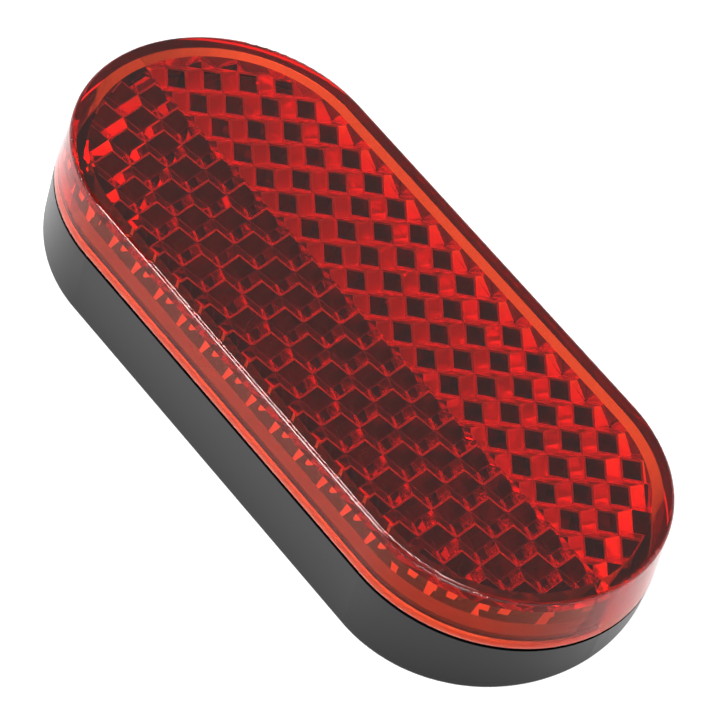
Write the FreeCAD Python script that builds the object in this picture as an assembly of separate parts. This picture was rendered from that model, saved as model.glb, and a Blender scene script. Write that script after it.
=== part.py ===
# Seat post reflector: a red prism lens bonded to a black wedge shaped base with a brass insert
import FreeCAD, Part
import math
import os

Vector = FreeCAD.Vector

# Lens, in millimetres and degrees
lens_length = 65.0
lens_width = 28.0
lens_height = 5.45
lens_draft = 3.5
top_edge_radius = 0.35
skirt_wall = 1.0
rim_plate = 1.5

# Corner cube prisms under the lens, in two zones that meet at its long axis
prism_pitch = 3.12
prism_plate = 1.6
first_row = 1.15
field_shift = 0.2
field_gap = 1.0

# Wedge base
wedge_angle = 12.0
base_depth = 4.1
base_draft = 2.0
base_floor = 1.0
back_edge_radius = 0.4
bond_line = 0.05
groove_height = 0.35
groove_depth = 0.5
lip_height = 0.5
lip_wall = 0.9
lip_clearance = 0.1

# Threaded insert for an M5 screw, in the deep side of the base
screw_offset = 6.0
screw_bore = 4.2
insert_diameter = 6.4
insert_length = 4.0
insert_neck_depth = 0.3
insert_neck_height = 1.0
insert_clearance = 0.05
boss_wall = 1.0
boss_cap = 0.6

# Sizes that follow from those above
half_straight = (lens_length - lens_width) / 2
foot_radius = lens_width / 2
top_radius = foot_radius - lens_height * math.tan(math.radians(lens_draft))
skirt_radius = foot_radius - skirt_wall
field_radius = skirt_radius - field_gap
cavity_radius = skirt_radius - lip_clearance - lip_wall
cube_edge = prism_pitch / math.sqrt(2)
cube_step = cube_edge / math.sqrt(3)
row_pitch = prism_pitch * math.sqrt(3) / 2
corner_radius = prism_pitch / math.sqrt(3)
root_level = lens_height - prism_plate
tip_level = root_level - 2 * cube_step
roof_level = lens_height - rim_plate / 2
span = 2 * lens_length
below_back = -2 * (base_depth + lens_width * math.tan(math.radians(wedge_angle)))

# The six neighbours of a hexagonal cell, across its sides from corner 0 to 1, 1 to 2 and on
SIDES = ((1, 1), (-1, 1), (-2, 0), (-1, -1), (1, -1), (2, 0))


def stadium(low, high, low_radius, high_radius):
    """A solid with straight long sides and round ends, tapering from one level to another."""
    height = high - low
    section = [
        Vector(-half_straight, -low_radius, low),
        Vector(-half_straight, low_radius, low),
        Vector(-half_straight, high_radius, high),
        Vector(-half_straight, -high_radius, high),
    ]
    solid = Part.Face(Part.makePolygon(section + section[:1])).extrude(Vector(2 * half_straight, 0, 0))
    for centre in (-half_straight, half_straight):
        foot = Vector(centre, 0, low)
        if low_radius == high_radius:
            end = Part.makeCylinder(low_radius, height, foot)
        else:
            end = Part.makeCone(low_radius, high_radius, height, foot)
        solid = solid.fuse(end)
    return solid.removeSplitter()


def column(low, high, radius):
    """A stadium with upright walls."""
    return stadium(low, high, radius, radius)


def edges_at(solid, level):
    """The edges of a solid that lie wholly at one height."""
    return [
        edge
        for edge in solid.Edges
        if abs(edge.BoundBox.ZMin - level) < 1e-4 and abs(edge.BoundBox.ZMax - level) < 1e-4
    ]


def cell_centre(cell):
    """Plan position of a prism cell of the upper zone."""
    column_number, row_number = cell
    x = field_shift + (column_number - 0.5) * prism_pitch / 2
    y = first_row + row_number * row_pitch
    return x, y


def zone_cells():
    """Every cell of the upper zone that the outline of the prism field reaches."""
    reach = field_radius + prism_pitch
    rows = math.ceil(reach / row_pitch)
    columns = math.ceil(2 * (half_straight + reach) / prism_pitch)
    cells = set()
    for row_number in range(-1, rows + 1):
        for column_number in range(-columns, columns + 1):
            x, y = cell_centre((column_number, row_number))
            beyond = max(abs(x) - half_straight, 0)
            staggered = (column_number - row_number) % 2 == 0
            if staggered and math.hypot(beyond, y) < reach:
                cells.add((column_number, row_number))
    return cells


def corner(cell, number, level):
    """A corner of a hexagonal cell at a given level."""
    x, y = cell_centre(cell)
    angle = math.radians(30 + 60 * number)
    return Vector(x + corner_radius * math.cos(angle), y + corner_radius * math.sin(angle), level)


def surface_corner(cell, number):
    """A corner of a hexagonal cell on the prisms, where roots alternate with points half way down."""
    return corner(cell, number, root_level if number % 2 else root_level - cube_step)


def polygon_face(points):
    """A flat face through a ring of points."""
    return Part.Face(Part.makePolygon(points + points[:1]))


def cell_faces(cell, cells):
    """The three square facets of one prism, its roof and an upright wall at each free side."""
    x, y = cell_centre(cell)
    tip = Vector(x, y, tip_level)
    faces = [polygon_face([corner(cell, number, roof_level) for number in range(6)])]
    for root in (1, 3, 5):
        faces.append(polygon_face([tip] + [surface_corner(cell, number) for number in range(root - 1, root + 2)]))
    for side, (columns_on, rows_on) in enumerate(SIDES):
        if (cell[0] + columns_on, cell[1] + rows_on) not in cells:
            foot = [surface_corner(cell, side), surface_corner(cell, side + 1)]
            roof = [corner(cell, side + 1, roof_level), corner(cell, side, roof_level)]
            faces.append(polygon_face(foot + roof))
    return faces


def zone_block():
    """The corner cubes of the upper zone, before they are cut to the outline."""
    cells = zone_cells()
    faces = []
    for cell in sorted(cells):
        faces.extend(cell_faces(cell, cells))
    shell = Part.makeShell(faces)
    shell.sewShape()
    block = Part.makeSolid(shell)
    if block.Volume < 0:
        block.reverse()
    return block


def prism_zones():
    """Both zones of corner cubes, the lower one turned half round, cut to the field's outline."""
    upper = zone_block()
    lower = upper.copy()
    lower.rotate(Vector(field_shift, 0, 0), Vector(0, 0, 1), 180)
    outline = column(tip_level - cube_step, lens_height, field_radius)
    upper_half = Part.makeBox(2 * span, span, span, Vector(-span, 0, 0))
    return [upper.common(outline.common(upper_half)), lower.common(outline.cut(upper_half))]


def seated(solid):
    """A solid drawn square to the lens, moved to its place over the sloping back."""
    moved = solid.copy()
    moved.translate(Vector(0, 0, base_depth))
    moved.rotate(Vector(0, 0, 0), Vector(1, 0, 0), -wedge_angle)
    return moved


def make_lens():
    """One moulding: a thin walled cap with the prism field under its plate."""
    cap = stadium(0, lens_height, foot_radius, top_radius)
    cap = cap.makeFillet(top_edge_radius, edges_at(cap, lens_height))
    cap = cap.cut(column(0, lens_height - rim_plate, skirt_radius))
    return seated(cap.fuse(prism_zones()).removeSplitter())


def screw_cylinder(low, high, diameter):
    """A cylinder on the screw's axis, square to the back."""
    return Part.makeCylinder(diameter / 2, high - low, Vector(0, -screw_offset, low))


def insert_outline(clearance):
    """The outside of the insert: two lands with a neck between them that the base grips."""
    full = insert_diameter + 2 * clearance
    neck_low = (insert_length - insert_neck_height) / 2 + clearance
    neck_high = (insert_length + insert_neck_height) / 2 - clearance
    neck = screw_cylinder(neck_low, neck_high, full).cut(
        screw_cylinder(neck_low, neck_high, full - 2 * insert_neck_depth)
    )
    return screw_cylinder(0, insert_length + clearance, full).cut(neck)


def make_insert():
    """The brass insert, open at the back."""
    return insert_outline(0).cut(screw_cylinder(0, insert_length, screw_bore))


def make_base():
    """A wedge shaped cup with a spigot and lip for the lens and a boss for the insert."""
    deep_radius = foot_radius + below_back * math.tan(math.radians(base_draft))
    shoulder_radius = foot_radius - groove_height * math.tan(math.radians(base_draft))
    body = seated(stadium(below_back, -groove_height, deep_radius, shoulder_radius))
    above_back = Part.makeBox(2 * span, 2 * span, span, Vector(-span, -span, 0))
    body = body.common(above_back)
    body = body.makeFillet(back_edge_radius, edges_at(body, 0))
    spigot = seated(column(-groove_height, -bond_line, foot_radius - groove_depth))
    lip = seated(column(-groove_height, lip_height, skirt_radius - lip_clearance))
    cavity = seated(column(below_back, lens_height, cavity_radius))
    cavity = cavity.common(above_back.translated(Vector(0, 0, base_floor)))
    boss_diameter = insert_diameter + 2 * (insert_clearance + boss_wall)
    boss = screw_cylinder(0, insert_length + boss_cap, boss_diameter)
    return body.fuse([spigot, lip]).cut(cavity).fuse(boss).cut(insert_outline(insert_clearance)).removeSplitter()


os.makedirs("parts", exist_ok=True)
make_lens().exportStep("parts/lens.step")
make_base().exportStep("parts/base.step")
make_insert().exportStep("parts/threaded_insert.step")
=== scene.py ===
"""The looks of a seat post reflector: a clear red prism lens, a black wedge base and a brass insert."""

import logging
import math
from dataclasses import dataclass
from enum import Enum
from typing import Any, Union

import bmesh
import bpy
from mathutils import Matrix, Vector

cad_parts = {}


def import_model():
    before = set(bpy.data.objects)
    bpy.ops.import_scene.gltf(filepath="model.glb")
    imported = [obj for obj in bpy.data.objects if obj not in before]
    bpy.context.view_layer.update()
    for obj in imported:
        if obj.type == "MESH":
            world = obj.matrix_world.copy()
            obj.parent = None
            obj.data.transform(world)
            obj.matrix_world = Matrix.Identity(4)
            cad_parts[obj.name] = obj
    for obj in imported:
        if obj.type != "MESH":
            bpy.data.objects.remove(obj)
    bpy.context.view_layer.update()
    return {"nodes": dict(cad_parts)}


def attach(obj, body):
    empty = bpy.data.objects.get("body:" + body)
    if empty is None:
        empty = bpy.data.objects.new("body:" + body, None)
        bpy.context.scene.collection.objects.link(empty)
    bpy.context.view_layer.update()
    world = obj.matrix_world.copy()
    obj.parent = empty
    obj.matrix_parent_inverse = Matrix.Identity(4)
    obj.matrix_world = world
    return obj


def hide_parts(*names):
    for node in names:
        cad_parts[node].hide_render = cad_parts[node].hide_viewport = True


LOG = logging.getLogger("reflector")
MM = 0.001

# The names of the values that the lens's faces carry for its material
FROST = "frost"
WALL = "wall"
TONE = "tone"

# The lens plane leans back from the flat back face by this angle, this far above its middle
WEDGE_ANGLE = math.radians(12.0)
BASE_DEPTH = 4.1 * MM
LENS_TO_PART = Matrix.Rotation(-WEDGE_ANGLE, 4, "X") @ Matrix.Translation((0.0, 0.0, BASE_DEPTH))
PART_TO_LENS = LENS_TO_PART.inverted()
SIDEWAYS = Vector((1.0, 0.0, 0.0))
UPWARD = Vector((0.0, 0.0, 1.0))

# The ways from a facet's middle to its four sides, in degrees from the way that it faces
SIDE_HEADINGS = (120, 240, 300, 60)

Value = Union["Signal", float, tuple]


class Signal:
    """A shader socket that takes part in Python arithmetic."""

    def __init__(self, graph: "Graph", socket: bpy.types.NodeSocket) -> None:
        """Wraps one output socket of a node in a graph."""
        self.graph = graph
        self.socket = socket

    def _math(self, operation: str, left: Value, right: Value) -> "Signal":
        """Adds one Math node for two values."""
        return self.graph.add("ShaderNodeMath", {"operation": operation}, {0: left, 1: right})

    def __add__(self, other: Value) -> "Signal":
        """This value plus another."""
        return self._math("ADD", self, other)

    def __radd__(self, other: Value) -> "Signal":
        """Another value plus this one."""
        return self._math("ADD", other, self)

    def __sub__(self, other: Value) -> "Signal":
        """This value less another."""
        return self._math("SUBTRACT", self, other)

    def __rsub__(self, other: Value) -> "Signal":
        """Another value less this one."""
        return self._math("SUBTRACT", other, self)

    def __mul__(self, other: Value) -> "Signal":
        """This value times another."""
        return self._math("MULTIPLY", self, other)

    def __rmul__(self, other: Value) -> "Signal":
        """Another value times this one."""
        return self._math("MULTIPLY", other, self)

    def __gt__(self, other: Value) -> "Signal":
        """One where this value is above another, else nought."""
        return self._math("GREATER_THAN", self, other)


class Graph:
    """The node tree of one material or of the room."""

    def __init__(self, owner: bpy.types.Material | bpy.types.World) -> None:
        """Empties the node tree of its owner.

        Args:
            owner: the material or world that the nodes belong to.
        """
        self.owner = owner
        self.owner.use_nodes = True
        self.tree = self.owner.node_tree
        self.tree.nodes.clear()
        kind = "World" if isinstance(owner, bpy.types.World) else "Material"
        self.out = self.tree.nodes.new(f"ShaderNodeOutput{kind}")

    @classmethod
    def material(cls, name: str) -> "Graph":
        """Starts a new material.

        Args:
            name: the material's name.

        Returns:
            Its empty graph.
        """
        return cls(bpy.data.materials.new(name))

    def add(
        self,
        kind: str,
        settings: dict[str, Any] | None = None,
        inputs: dict[int | str, Value] | None = None,
        output: int | str = 0,
    ) -> Signal:
        """Adds one node.

        Args:
            kind: the node's type.
            settings: properties of the node, set first; "stops" fills a colour ramp.
            inputs: values or links for its input sockets.
            output: the output socket to return.

        Returns:
            The chosen output as a signal.
        """
        node = self.tree.nodes.new(kind)
        for key, value in (settings or {}).items():
            if key == "stops":
                self._fill_ramp(node.color_ramp, value)
            else:
                setattr(node, key, value)
        for key, value in (inputs or {}).items():
            if isinstance(value, Signal):
                self.tree.links.new(value.socket, node.inputs[key])
            else:
                node.inputs[key].default_value = value
        return Signal(self, node.outputs[output])

    @staticmethod
    def _fill_ramp(ramp: bpy.types.ColorRamp, stops: list[tuple[float, tuple]]) -> None:
        """Sets the stops of a colour ramp.

        Args:
            ramp: the ramp of a new node.
            stops: the place and the colour of each stop.
        """
        while len(ramp.elements) < len(stops):
            ramp.elements.new(0.5)
        for element, (place, colour) in zip(ramp.elements, stops):
            element.position = place
            element.color = colour

    def finish(
        self, surface: Signal, volume: Signal | None = None
    ) -> bpy.types.Material | bpy.types.World:
        """Links the outputs.

        Args:
            surface: the surface shader.
            volume: the volume shader, if there is one.

        Returns:
            The finished material or world.
        """
        self.tree.links.new(surface.socket, self.out.inputs["Surface"])
        if volume is not None:
            self.tree.links.new(volume.socket, self.out.inputs["Volume"])
        return self.owner


class Tone(Enum):
    """How frosted plastic is coloured: pale at the surface, deep red as deep in the plastic, or dark as
    painted shade.
    """

    PALE = 0.0
    DEEP = 0.5
    DARK = 1.0


@dataclass(frozen=True)
class Frost:
    """How much light a face scatters, and its tone; the dark tone is painted shade."""

    amount: float
    tone: Tone = Tone.PALE

    def times(self, share: float) -> "Frost":
        """The same frost, scattering a share of the light."""
        return Frost(self.amount * share, self.tone)


@dataclass(frozen=True)
class ClearRed:
    """Polished clear red acrylic, coloured by the depth that light passes through, frosted in places; dark
    frost is painted shade, and the outer walls' red-tinted reflections are painted shade.
    """

    absorption_colour: tuple = (0.991, 0.42, 0.02, 1.0)
    absorption_per_metre: float = 1700.0
    ior: float = 1.49
    top_tint: tuple = (1.0, 1.0, 1.0, 1.0)
    # Painted shade: the outer walls' reflections are tinted red, so that they show little of the pale floor
    wall_shade_tint: tuple = (1.0, 0.05, 0.0, 1.0)
    pale_frost: tuple = (0.9, 0.9, 0.9, 1.0)
    deep_frost: tuple = (0.9, 0.3, 0.25, 1.0)
    # Painted shade: dark frost where the plastic is to look dark
    painted_shade_frost: tuple = (0.045, 0.045, 0.045, 1.0)

    def clear(self, graph: Graph, tint: tuple) -> Signal:
        """Adds the clear plastic.

        Args:
            graph: the material's graph.
            tint: the colour of its reflections.

        Returns:
            The shader.
        """
        return graph.add(
            "ShaderNodeBsdfPrincipled",
            None,
            {
                "Base Color": (1.0, 1.0, 1.0, 1.0),
                "Roughness": 0.0,
                "IOR": self.ior,
                "Transmission Weight": 1.0,
                "Specular Tint": tint,
            },
        )

    def material(self) -> bpy.types.Material:
        """Builds the material.

        Returns:
            The finished material.
        """
        graph = Graph.material("clear_red_acrylic")
        wall = graph.add("ShaderNodeAttribute", {"attribute_name": WALL}, output="Fac")
        top = self.clear(graph, self.top_tint)
        # The outer walls' copy, its reflections tinted red as painted shade
        side = self.clear(graph, self.wall_shade_tint)
        clear = graph.add("ShaderNodeMixShader", None, {0: wall, 1: top, 2: side})
        # Frost tones: pale, deep red, and dark as painted shade
        tone = graph.add("ShaderNodeAttribute", {"attribute_name": TONE}, output="Fac")
        tones = ((Tone.PALE, self.pale_frost), (Tone.DEEP, self.deep_frost), (Tone.DARK, self.painted_shade_frost))
        stops = [(name.value, colour) for name, colour in tones]
        colour = graph.add("ShaderNodeValToRGB", {"stops": stops}, {"Fac": tone})
        matt = graph.add(
            "ShaderNodeBsdfPrincipled",
            None,
            {"Base Color": colour, "Roughness": 1.0, "Specular IOR Level": 0.0},
        )
        frost = graph.add("ShaderNodeAttribute", {"attribute_name": FROST}, output="Fac")
        surface = graph.add("ShaderNodeMixShader", None, {0: frost, 1: clear, 2: matt})
        volume = graph.add(
            "ShaderNodeVolumeAbsorption",
            None,
            {"Color": self.absorption_colour, "Density": self.absorption_per_metre},
        )
        return graph.finish(surface, volume)


class Facet(Enum):
    """The ways that prism facets face: plan angle in degrees, frost, and frost along the four sides."""

    UPPER_BACK = (90, 0.0, (0.55, 0.75, 0.4, 0.3))
    UPPER_LEFT = (210, 0.32, (0.4, 0.4, 0.4, 0.4))
    UPPER_RIGHT = (330, 0.25, (0.5, 0.5, 0.5, 0.5))
    LOWER_RIGHT = (30, 0.0, (0.05, 0.45, 0.55, 0.05))
    LOWER_LEFT = (150, 0.045, (0.1, 0.1, 0.6, 0.6))
    LOWER_FRONT = (270, 0.03, (0.4, 0.2, 0.1, 0.3))

    @property
    def angle(self) -> float:
        """The plan angle in radians."""
        return math.radians(self.value[0])

    @property
    def frost(self) -> float:
        """How much light the facet scatters."""
        return self.value[1]

    @property
    def is_upper(self) -> bool:
        """Whether the facet belongs to the upper zone."""
        return self.value[0] % 120 == 90

    def side_frost(self, outward: Vector) -> float:
        """How much light the border along one side scatters.

        Args:
            outward: the way from the facet's middle to that side, in the lens's frame.

        Returns:
            The frost of the side that lies that way.
        """
        heading = math.degrees(math.atan2(outward.y, outward.x)) - self.value[0]
        sides = zip(SIDE_HEADINGS, self.value[2])
        return min(sides, key=lambda side: abs((heading - side[0] + 180) % 360 - 180))[1]

    @classmethod
    def nearest(cls, direction: Vector) -> "Facet":
        """The way that is closest to a direction in the lens's frame."""
        flat = Vector((direction.x, direction.y)).normalized()
        return max(cls, key=lambda facet: flat.dot(Vector((math.cos(facet.angle), math.sin(facet.angle)))))


@dataclass(frozen=True)
class SatinBlack:
    """Moulded black plastic with a fine satin grain, dead black matt in the groove under the lens as painted
    shade, and darker towards its foot.
    """

    colour: tuple = (0.009, 0.009, 0.0095, 1.0)
    # Painted shade: dead black matt in the groove under the lens, above this level; the base also darkens
    # towards the foot's level
    groove_shade_colour: tuple = (0.002, 0.002, 0.002, 1.0)
    groove_level: float = -0.36 * MM
    foot_level: float = -6.0 * MM
    foot_darkening: float = 0.25
    roughness: float = 0.25
    roughness_spread: float = 0.1
    gloss: float = 0.2
    grain_per_metre: float = 9000.0
    grain_detail: float = 3.0
    grain_strength: float = 0.12
    grain_height: float = 0.03 * MM

    def shade_and_darkening(self, graph: Graph, place: Signal) -> Signal:
        """Says how much dead black matt to mix in: fully in the groove, as painted shade under the lens, and
        slightly towards the back, darkening the base towards its foot.

        Args:
            graph: the material's graph.
            place: the place on the base.

        Returns:
            One in the groove, nought just under it, rising slightly towards the back.
        """
        across = graph.add("ShaderNodeSeparateXYZ", None, {"Vector": place}, "Y")
        upward = graph.add("ShaderNodeSeparateXYZ", None, {"Vector": place}, "Z")
        level = across * math.sin(WEDGE_ANGLE) + upward * math.cos(WEDGE_ANGLE) - BASE_DEPTH
        foot = graph.add(
            "ShaderNodeMapRange",
            None,
            {
                "Value": level,
                "From Min": self.groove_level,
                "From Max": self.foot_level,
                "To Min": 0.0,
                "To Max": self.foot_darkening,
            },
        )
        return (level > self.groove_level) + foot

    def material(self) -> bpy.types.Material:
        """Builds the material.

        Returns:
            The finished material.
        """
        graph = Graph.material("satin_black_plastic")
        place = graph.add("ShaderNodeTexCoord", output="Object")
        grain = graph.add(
            "ShaderNodeTexNoise",
            None,
            {"Vector": place, "Scale": self.grain_per_metre, "Detail": self.grain_detail},
        )
        normal = graph.add(
            "ShaderNodeBump",
            None,
            {"Height": grain, "Strength": self.grain_strength, "Distance": self.grain_height},
        )
        satin = graph.add(
            "ShaderNodeBsdfPrincipled",
            None,
            {
                "Base Color": self.colour,
                "Roughness": grain * self.roughness_spread + self.roughness,
                "Specular IOR Level": self.gloss,
                "Normal": normal,
            },
        )
        # Dead black matt, mixed in as painted shade in the groove and as darkening towards the foot
        shade_matt = graph.add(
            "ShaderNodeBsdfPrincipled",
            None,
            {"Base Color": self.groove_shade_colour, "Roughness": 1.0, "Specular IOR Level": 0.0},
        )
        surface = graph.add("ShaderNodeMixShader", None, {0: self.shade_and_darkening(graph, place), 1: satin, 2: shade_matt})
        return graph.finish(surface)


@dataclass(frozen=True)
class TurnedBrass:
    """Turned brass with fine rings about the screw and a light tarnish."""

    colour: tuple = (0.72, 0.50, 0.20, 1.0)
    tarnish: tuple = (0.46, 0.30, 0.12, 1.0)
    roughness: float = 0.2
    roughness_spread: float = 0.15
    axis: tuple = (0.0, -6.0 * MM, 0.0)
    rings_per_metre: float = 1500.0
    ring_waver: float = 0.6
    ring_strength: float = 0.25
    ring_height: float = 0.02 * MM
    tarnish_per_metre: float = 700.0
    tarnish_detail: float = 4.0
    tarnish_end: float = 0.35
    bright_start: float = 0.6

    def material(self) -> bpy.types.Material:
        """Builds the material.

        Returns:
            The finished material.
        """
        graph = Graph.material("turned_brass")
        place = graph.add("ShaderNodeTexCoord", output="Object")
        centred = graph.add("ShaderNodeVectorMath", {"operation": "SUBTRACT"}, {0: place, 1: self.axis})
        rings = graph.add(
            "ShaderNodeTexWave",
            {"wave_type": "RINGS", "rings_direction": "Z"},
            {"Vector": centred, "Scale": self.rings_per_metre, "Distortion": self.ring_waver},
        )
        patches = graph.add(
            "ShaderNodeTexNoise",
            None,
            {"Vector": place, "Scale": self.tarnish_per_metre, "Detail": self.tarnish_detail},
        )
        stops = [(self.tarnish_end, self.tarnish), (self.bright_start, self.colour)]
        colour = graph.add("ShaderNodeValToRGB", {"stops": stops}, {"Fac": patches})
        normal = graph.add(
            "ShaderNodeBump",
            None,
            {"Height": rings, "Strength": self.ring_strength, "Distance": self.ring_height},
        )
        surface = graph.add(
            "ShaderNodeBsdfPrincipled",
            None,
            {
                "Base Color": colour,
                "Metallic": 1.0,
                "Roughness": patches * self.roughness_spread + self.roughness,
                "Normal": normal,
            },
        )
        return graph.finish(surface)


@dataclass(frozen=True)
class Tooth:
    """A bright leaning patch inside the near wall: its foot, and its sides there and at the rim."""

    foot: float
    foot_sides: tuple
    rim_sides: tuple

    def sides_at(self, level: float, rim: float) -> list[float]:
        """Where its two sides are at a level.

        Args:
            level: the height on the wall.
            rim: the height of the wall's top.

        Returns:
            Their distances along the wall.
        """
        share = (level - self.foot) / (rim - self.foot)
        return [low + share * (high - low) for low, high in zip(self.foot_sides, self.rim_sides)]

    def covers(self, along: float, level: float, rim: float) -> bool:
        """Whether it covers a place on the wall.

        Args:
            along: the distance along the wall.
            level: the height on the wall.
            rim: the height of the wall's top.

        Returns:
            True if the place lies between its sides and above its foot.
        """
        left, right = self.sides_at(level, rim)
        return level > self.foot and left < along < right


@dataclass
class Lens:
    """The one-piece lens: smooth curved walls, flat prism facets with frosted borders."""

    # Shared corners, smooth shading and the borders of whole facets
    weld: float = 1e-6
    crease: float = math.radians(35.0)
    facet_tilt: float = math.acos(1.0 / math.sqrt(3.0))
    facet_tolerance: float = math.radians(1.0)
    flat_limit: float = math.radians(0.5)
    whole_facet: float = 3.5 * MM**2
    upper_border: float = 0.22 * MM
    lower_border: float = 0.15 * MM

    # Where the walls, the rim and the foot are, and how they lie
    half_straight: float = 18.5 * MM
    outside_reach: float = 13.2 * MM
    inside_reach: float = 12.5 * MM
    ends_reach: float = 11.5 * MM
    upright_limit: float = 0.2
    flat_cosine: float = 0.9999
    rim_level: float = 3.95 * MM
    rim_tolerance: float = 0.02 * MM
    rim_cosine: float = 0.99
    foot_level: float = 0.01 * MM

    # Cuts on the outside, close to its bends
    bend_gap: float = 0.2 * MM
    fillet_foot: float = 5.0 * MM

    # The ends of the prisms, dark with painted shade, with a pale line where two of them meet
    line_pitch: float = 3.12 * MM
    line_start: float = 2.54 * MM
    line_width: float = 0.3 * MM
    line_frost: Frost = Frost(0.8)
    ends_shade: Frost = Frost(0.8, Tone.DARK)

    # The inside of the near wall: the top and the frost of each band, and the teeth; the dark bands are
    # painted shade
    near_bands: tuple = (
        (0.3 * MM, Frost(1.0)),
        (0.95 * MM, Frost(0.4, Tone.DARK)),
        (2.45 * MM, Frost(0.25, Tone.DEEP)),
        (3.95 * MM, Frost(0.5, Tone.DARK)),
    )
    teeth: tuple = (
        Tooth(2.45 * MM, foot_sides=(0.0, 0.35 * MM), rim_sides=(0.28 * MM, 0.96 * MM)),
        Tooth(3.27 * MM, foot_sides=(1.35 * MM, 1.6 * MM), rim_sides=(1.45 * MM, 2.17 * MM)),
    )
    teeth_start: float = 1.77 * MM
    tooth_frost: Frost = Frost(0.9, Tone.DEEP)
    fade_reach: float = 9.0 * MM

    # The other walls, the rim and the foot; the rim's dark frost is painted shade
    far_inside_frost: Frost = Frost(0.02)
    far_rim_shade: Frost = Frost(0.3, Tone.DARK)
    near_foot_frost: Frost = Frost(1.0)
    far_foot_frost: Frost = Frost(0.22)

    # The left end, darkened inside with painted shade: where it starts and is full, beyond the straight part
    left_end: tuple = (9.5 * MM, 13.0 * MM)
    left_inside_shade: Frost = Frost(0.55, Tone.DARK)
    left_foot_start: float = 0.5
    left_foot_frost: Frost = Frost(0.14)

    finish: ClearRed = ClearRed()

    @staticmethod
    def middle(face: bmesh.types.BMFace) -> Vector:
        """The middle of a face, in the lens's frame."""
        return PART_TO_LENS @ face.calc_center_median()

    @staticmethod
    def facing(face: bmesh.types.BMFace) -> Vector:
        """The way that a face looks, in the lens's frame."""
        return PART_TO_LENS.to_3x3() @ face.normal

    def reach(self, face: bmesh.types.BMFace) -> float:
        """How far a face lies from the lens's long axis, measured square to the outline."""
        middle = self.middle(face)
        return math.hypot(max(abs(middle.x) - self.half_straight, 0.0), middle.y)

    def is_facet(self, face: bmesh.types.BMFace) -> bool:
        """Whether a face leans as the facets of the corner cubes do."""
        downward = LENS_TO_PART.to_3x3() @ -UPWARD
        return abs(face.normal.angle(downward) - self.facet_tilt) < self.facet_tolerance

    def is_flat(self, face: bmesh.types.BMFace) -> bool:
        """Whether a face lies along the lens's plane."""
        return abs(self.facing(face).z) > self.flat_cosine

    def is_upright(self, face: bmesh.types.BMFace) -> bool:
        """Whether a face stands upright on the lens."""
        return abs(self.facing(face).z) < self.upright_limit

    def is_inside(self, face: bmesh.types.BMFace) -> bool:
        """Whether a face is on the inside of the skirt."""
        return self.is_upright(face) and self.inside_reach < self.reach(face) < self.outside_reach

    def is_end(self, face: bmesh.types.BMFace) -> bool:
        """Whether a face is one of the upright ends of the prisms at the edge of their field."""
        return self.is_upright(face) and self.ends_reach < self.reach(face) < self.inside_reach

    def is_rim(self, face: bmesh.types.BMFace) -> bool:
        """Whether a face lies on the underside of the rim, between the prisms and the skirt."""
        is_level = abs(self.middle(face).z - self.rim_level) < self.rim_tolerance
        return is_level and self.facing(face).z < -self.rim_cosine

    def join_facets(self, shape: bmesh.types.BMesh) -> None:
        """Joins the triangles of each facet.

        Args:
            shape: the lens, with shared corners.
        """
        facets = {face for face in shape.faces if self.is_facet(face)}
        shared = [edge for edge in shape.edges if edge.is_manifold and facets.issuperset(edge.link_faces)]
        inner = [edge for edge in shared if edge.calc_face_angle() < self.flat_limit]
        bmesh.ops.dissolve_edges(shape, edges=inner, use_verts=False)

    def frost_facets(self, shape: bmesh.types.BMesh) -> None:
        """Frosts the facets and gives each whole one a border with its own frost on every side.

        Args:
            shape: the lens, its facets joined.
        """
        frost = shape.faces.layers.float[FROST]
        facets = {face: Facet.nearest(self.facing(face)) for face in shape.faces if self.is_facet(face)}
        for face, facet in facets.items():
            face[frost] = facet.frost
        whole = [face for face in facets if face.calc_area() > self.whole_facet]
        borders = []
        for is_upper, width in ((True, self.upper_border), (False, self.lower_border)):
            zone = [face for face in whole if facets[face].is_upper == is_upper]
            borders += bmesh.ops.inset_individual(
                shape, faces=zone, thickness=width, use_even_offset=True
            )["faces"]
        for border in borders:
            core = next(face for edge in border.edges for face in edge.link_faces if face in facets)
            border[frost] = facets[core].side_frost(self.middle(border) - self.middle(core))

    def cut(
        self,
        shape: bmesh.types.BMesh,
        faces: list[bmesh.types.BMFace],
        planes: list[tuple[Vector, Vector]],
    ) -> None:
        """Cuts some faces along planes.

        Args:
            shape: the lens.
            faces: the faces to cut.
            planes: a point and the normal of each plane, in the lens's frame.
        """
        edges = {edge for face in faces for edge in face.edges}
        corners = {corner for face in faces for corner in face.verts}
        geometry = [*faces, *edges, *corners]
        for point, normal in planes:
            geometry = bmesh.ops.bisect_plane(
                shape,
                geom=geometry,
                dist=self.weld,
                plane_co=LENS_TO_PART @ point,
                plane_no=LENS_TO_PART.to_3x3() @ normal,
            )["geom"]

    def cut_outside(self, shape: bmesh.types.BMesh) -> None:
        """Cuts the outside near its bends, so that normals blend over a short way only.

        Args:
            shape: the lens.
        """
        bend = self.half_straight - self.bend_gap
        planes = [(place * SIDEWAYS, SIDEWAYS) for place in (-bend, bend)]
        planes.append((self.fillet_foot * UPWARD, UPWARD))
        outside = [
            face for face in shape.faces if self.reach(face) > self.outside_reach and not self.is_flat(face)
        ]
        self.cut(shape, outside, planes)

    def repeats(self, start: float) -> list[float]:
        """Repeats a pattern with the prisms, along the straight part.

        Args:
            start: where one of its repeats starts.

        Returns:
            The start of every repeat.
        """
        first = math.ceil((-self.half_straight - start) / self.line_pitch)
        last = math.floor((self.half_straight - start) / self.line_pitch)
        return [start + number * self.line_pitch for number in range(first, last + 1)]

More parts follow.
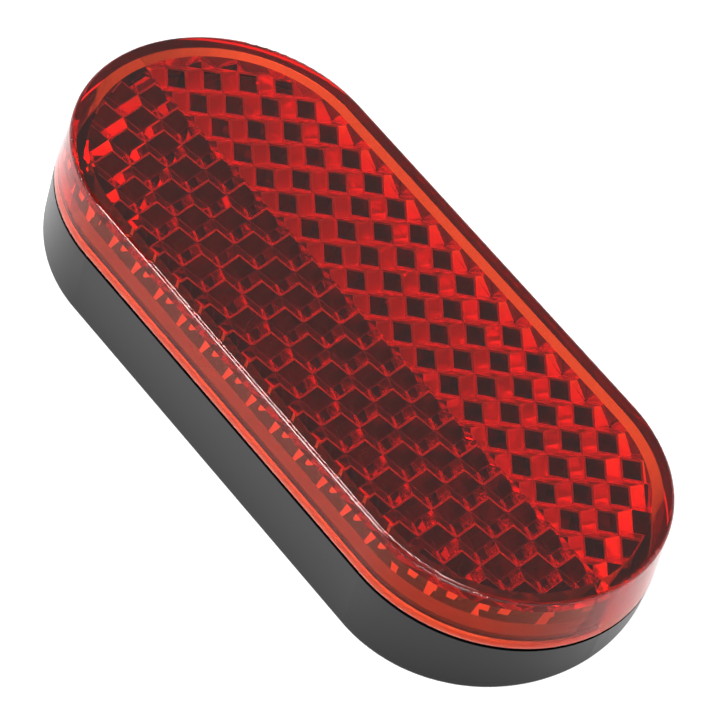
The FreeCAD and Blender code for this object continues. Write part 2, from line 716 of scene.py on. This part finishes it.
    def cut_ends(self, shape: bmesh.types.BMesh) -> None:
        """Cuts a narrow line where two prisms of the edge rows meet.

        Args:
            shape: the lens.
        """
        places = [
            place + side * self.line_width for place in self.repeats(self.line_start) for side in (-0.5, 0.5)
        ]
        ends = [face for face in shape.faces if self.is_end(face)]
        self.cut(shape, ends, [(place * SIDEWAYS, SIDEWAYS) for place in places])

    def cut_inside(self, shape: bmesh.types.BMesh) -> None:
        """Cuts the inside of the near wall along the edges of its bands and teeth.

        Args:
            shape: the lens.
        """
        levels = {level for level, _ in self.near_bands[:-1]} | {tooth.foot for tooth in self.teeth}
        planes = [(level * UPWARD, UPWARD) for level in sorted(levels)]
        for start in self.repeats(self.teeth_start):
            for tooth in self.teeth:
                for foot, rim in zip(tooth.foot_sides, tooth.rim_sides):
                    normal = Vector((self.rim_level - tooth.foot, 0.0, foot - rim)).normalized()
                    planes.append((Vector((start + foot, 0.0, tooth.foot)), normal))
        inside = [face for face in shape.faces if self.is_inside(face) and face.calc_center_median().y < 0.0]
        self.cut(shape, inside, planes)

    def on_line(self, middle: Vector) -> bool:
        """Whether a place on the ends of the prisms lies where two of them meet."""
        along = (middle.x - self.line_start + self.line_width / 2) % self.line_pitch
        return along < self.line_width and abs(middle.x) < self.half_straight

    def near_inside_frost(self, middle: Vector) -> Frost:
        """How much light a place inside the near wall scatters.

        Args:
            middle: the place, in the lens's frame.

        Returns:
            The frost of its tooth or band, fading out round the ends.
        """
        along = (middle.x - self.teeth_start) % self.line_pitch
        if any(tooth.covers(along, middle.z, self.rim_level) for tooth in self.teeth):
            frost = self.tooth_frost
        else:
            frost = next((frost for level, frost in self.near_bands if middle.z < level), Frost(0.0))
        return frost.times(min(1.0, -middle.y / self.fade_reach))

    def left_end_share(self, middle: Vector) -> float:
        """How far a place, in the lens's frame, lies in the skirt's left end, which is darkened with painted
        shade, from nought to one.
        """
        start, full = self.left_end
        return min(max((-middle.x - self.half_straight - start) / (full - start), 0.0), 1.0)

    def wall_frost(self, face: bmesh.types.BMFace) -> Frost:
        """Finds the frost of a face that is no facet.

        Args:
            face: a face of the walls, the rim or the prisms' ends.

        Returns:
            Its frost, none on the outside.
        """
        middle = self.middle(face)
        is_near = middle.y < 0.0
        left_share = self.left_end_share(middle)
        if self.is_inside(face):
            if left_share > 0.0:
                return self.left_inside_shade.times(left_share)
            return self.near_inside_frost(middle) if is_near else self.far_inside_frost
        if self.is_end(face) and is_near:
            return self.line_frost if self.on_line(middle) else self.ends_shade
        if self.is_rim(face) and not is_near:
            return self.far_rim_shade
        if middle.z < self.foot_level:
            if left_share > self.left_foot_start:
                return self.left_foot_frost
            return self.near_foot_frost if is_near else self.far_foot_frost
        return Frost(0.0)

    def mark_walls(self, shape: bmesh.types.BMesh) -> None:
        """Marks the outside of the skirt and frosts its inside, its foot, the rim and the ends of prisms,
        dark frost being painted shade.

        Args:
            shape: the lens.
        """
        layers = shape.faces.layers.float
        for face in shape.faces:
            if self.is_facet(face):
                continue
            frost = self.wall_frost(face)
            face[layers[FROST]] = frost.amount
            face[layers[TONE]] = frost.tone.value
            face[layers[WALL]] = float(self.is_upright(face) and self.reach(face) > self.outside_reach)

    def build(self, node: bpy.types.Object) -> bpy.types.Object:
        """Copies the node's shape with shared corners, frosted facets and smooth curves.

        Args:
            node: the lens as it was packed.

        Returns:
            The piece that stands for it.
        """
        shape = bmesh.new()
        shape.from_mesh(node.data)
        bmesh.ops.remove_doubles(shape, verts=shape.verts, dist=self.weld)
        shape.normal_update()
        for face in shape.faces:
            face.smooth = not (self.is_facet(face) or self.is_flat(face))
        for edge in shape.edges:
            edge.smooth = edge.is_manifold and edge.calc_face_angle() < self.crease
        for layer in (FROST, WALL, TONE):
            shape.faces.layers.float.new(layer)
        self.join_facets(shape)
        self.frost_facets(shape)
        self.cut_outside(shape)
        self.cut_ends(shape)
        self.cut_inside(shape)
        self.mark_walls(shape)
        mesh = bpy.data.meshes.new("clear_lens")
        shape.to_mesh(mesh)
        shape.free()
        piece = bpy.data.objects.new("clear_lens", mesh)
        bpy.context.scene.collection.objects.link(piece)
        mesh.materials.append(self.finish.material())
        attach(piece, "root")
        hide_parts("lens")
        return piece


@dataclass(frozen=True)
class Strip:
    """A narrow light beside the part: its direction in degrees, its size and how bright its face is."""

    name: str
    azimuth: float
    elevation: float
    length: float
    width: float
    radiance: float
    shows_through_lens: bool = True
    distance: float = 0.6

    def place(self) -> Matrix:
        """Works out where the strip stands and how it is turned.

        Returns:
            Its place, facing the part.
        """
        azimuth, elevation = math.radians(self.azimuth), math.radians(self.elevation)
        toward = Vector(
            (
                math.cos(azimuth) * math.cos(elevation),
                math.sin(azimuth) * math.cos(elevation),
                math.sin(elevation),
            )
        )
        turn = toward.to_track_quat("Z", "Y").to_matrix().to_4x4()
        return Matrix.Translation(toward * self.distance) @ turn


@dataclass
class Studio:
    """A pale floor, soft light and the camera."""

    # The camera, in the lens's frame
    azimuth: float = math.radians(36.362)
    elevation: float = math.radians(46.826)
    roll: float = math.radians(20.311)
    distance: float = 367.869 * MM
    aim: tuple = (1.09 * MM, -0.105 * MM, 0.0)
    focal_px: float = 4499.332
    frame_px: float = 720.0
    sensor: float = 36.0
    clip: tuple = (0.01, 20.0)

    # The floor
    floor_size: float = 3.0
    floor_drop: float = 0.02 * MM
    floor_tone: float = 0.35
    floor_glow: float = 0.85
    floor_roughness: float = 0.9

    # The room, by height from nought to one, and its dark patch
    horizon_end: float = 0.15
    sky_start: float = 0.45
    sky_level: float = 0.46
    shade_direction: tuple = (-0.475, -0.358, 0.804)
    shade_core: float = math.radians(14.0)
    shade_reach: float = math.radians(26.0)
    shade_level: float = 0.06

    # The lights
    softbox_place: tuple = (-0.14, -0.047, 0.6)
    softbox_length: float = 0.34
    softbox_width: float = 0.24
    softbox_radiance: float = 18.0
    strips: tuple = (
        Strip(
            "near_strip",
            azimuth=-118.0,
            elevation=24.0,
            length=0.16,
            width=0.38,
            radiance=16.0,
            shows_through_lens=False,
        ),
        Strip("right_strip", azimuth=-60.0, elevation=20.0, length=0.5, width=0.09, radiance=22.0),
    )
    bounces: int = 32

    def camera(self) -> None:
        """Places the camera where the photograph was taken from."""
        back = Vector(
            (
                math.sin(self.azimuth) * math.cos(self.elevation),
                -math.cos(self.azimuth) * math.cos(self.elevation),
                math.sin(self.elevation),
            )
        )
        right = Vector((math.cos(self.azimuth), math.sin(self.azimuth), 0.0))
        up = back.cross(right)
        turned_right = right * math.cos(self.roll) + up * math.sin(self.roll)
        turned_up = up * math.cos(self.roll) - right * math.sin(self.roll)
        matrix = Matrix((turned_right, turned_up, back)).transposed().to_4x4()
        matrix.translation = Vector(self.aim) + back * self.distance
        data = bpy.data.cameras.new("camera")
        data.sensor_fit = "HORIZONTAL"
        data.sensor_width = self.sensor
        data.lens = self.focal_px / self.frame_px * self.sensor
        data.clip_start, data.clip_end = self.clip
        camera = bpy.data.objects.new("camera", data)
        camera.matrix_world = LENS_TO_PART @ matrix
        bpy.context.scene.collection.objects.link(camera)
        bpy.context.scene.camera = camera

    def floor(self) -> None:
        """Lays a plain pale light table under the part."""
        shape = bmesh.new()
        below = Matrix.Translation((0.0, 0.0, -self.floor_drop))
        bmesh.ops.create_grid(shape, x_segments=1, y_segments=1, size=self.floor_size / 2, matrix=below)
        mesh = bpy.data.meshes.new("floor")
        shape.to_mesh(mesh)
        shape.free()
        floor = bpy.data.objects.new("floor", mesh)
        bpy.context.scene.collection.objects.link(floor)
        graph = Graph.material("pale_floor")
        surface = graph.add(
            "ShaderNodeBsdfPrincipled",
            None,
            {
                "Base Color": (self.floor_tone, self.floor_tone, self.floor_tone, 1.0),
                "Roughness": self.floor_roughness,
                "Emission Color": (1.0, 1.0, 1.0, 1.0),
                "Emission Strength": self.floor_glow,
            },
        )
        mesh.materials.append(graph.finish(surface))

    def room(self) -> None:
        """Fills the room with white light, full at the horizon, dimmer overhead and dark in one patch."""
        world = bpy.data.worlds.new("studio")
        graph = Graph(world)
        direction = graph.add("ShaderNodeTexCoord", output="Generated")
        height = graph.add("ShaderNodeSeparateXYZ", None, {"Vector": direction}, "Z")
        sky = graph.add(
            "ShaderNodeMapRange",
            {"interpolation_type": "SMOOTHSTEP"},
            {
                "Value": height,
                "From Min": self.horizon_end,
                "From Max": self.sky_start,
                "To Min": 1.0,
                "To Max": self.sky_level,
            },
        )
        toward = Vector(self.shade_direction).normalized()
        facing = graph.add(
            "ShaderNodeVectorMath", {"operation": "DOT_PRODUCT"}, {0: direction, 1: tuple(toward)}, "Value"
        )
        shade = graph.add(
            "ShaderNodeMapRange",
            {"interpolation_type": "SMOOTHSTEP"},
            {
                "Value": facing,
                "From Min": math.cos(self.shade_reach),
                "From Max": math.cos(self.shade_core),
                "To Min": 1.0,
                "To Max": self.shade_level,
            },
        )
        background = graph.add("ShaderNodeBackground", None, {"Color": sky * shade})
        bpy.context.scene.world = graph.finish(background)

    def softbox(self) -> None:
        """Hangs one oblong light over the lens, square to it."""
        place = LENS_TO_PART @ Matrix.Translation(self.softbox_place)
        self.area_light("softbox", place, self.softbox_length, self.softbox_width, self.softbox_radiance)

    @staticmethod
    def area_light(
        name: str, place: Matrix, length: float, width: float, radiance: float
    ) -> bpy.types.Object:
        """Adds one oblong light.

        Args:
            name: the light's name.
            place: where it stands and how it is turned.
            length: its first side.
            width: its second side.
            radiance: how bright its face is.

        Returns:
            The light.
        """
        data = bpy.data.lights.new(name, "AREA")
        data.shape = "RECTANGLE"
        data.size = length
        data.size_y = width
        data.energy = radiance * math.pi * length * width
        light = bpy.data.objects.new(name, data)
        light.matrix_world = place
        bpy.context.scene.collection.objects.link(light)
        return light

    def build(self) -> None:
        """Sets up the whole studio."""
        self.floor()
        self.room()
        self.softbox()
        for strip in self.strips:
            light = self.area_light(strip.name, strip.place(), strip.length, strip.width, strip.radiance)
            light.visible_transmission = strip.shows_through_lens
        self.camera()
        scene = bpy.context.scene
        scene.view_settings.view_transform = "Standard"
        for limit in ("max_bounces", "transmission_bounces", "glossy_bounces"):
            setattr(scene.cycles, limit, self.bounces)


def main() -> None:
    """Builds the pieces and the studio."""
    logging.basicConfig(level=logging.INFO)
    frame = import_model()
    lens = Lens().build(frame["nodes"]["lens"])
    LOG.info("%s: %d faces", lens.name, len(lens.data.polygons))
    for name, finish in (("base", SatinBlack()), ("threaded_insert", TurnedBrass())):
        node = frame["nodes"][name]
        node.data.materials.clear()
        node.data.materials.append(finish.material())
        LOG.info("%s dressed", name)
    Studio().build()


if __name__ == "__main__":
    main()
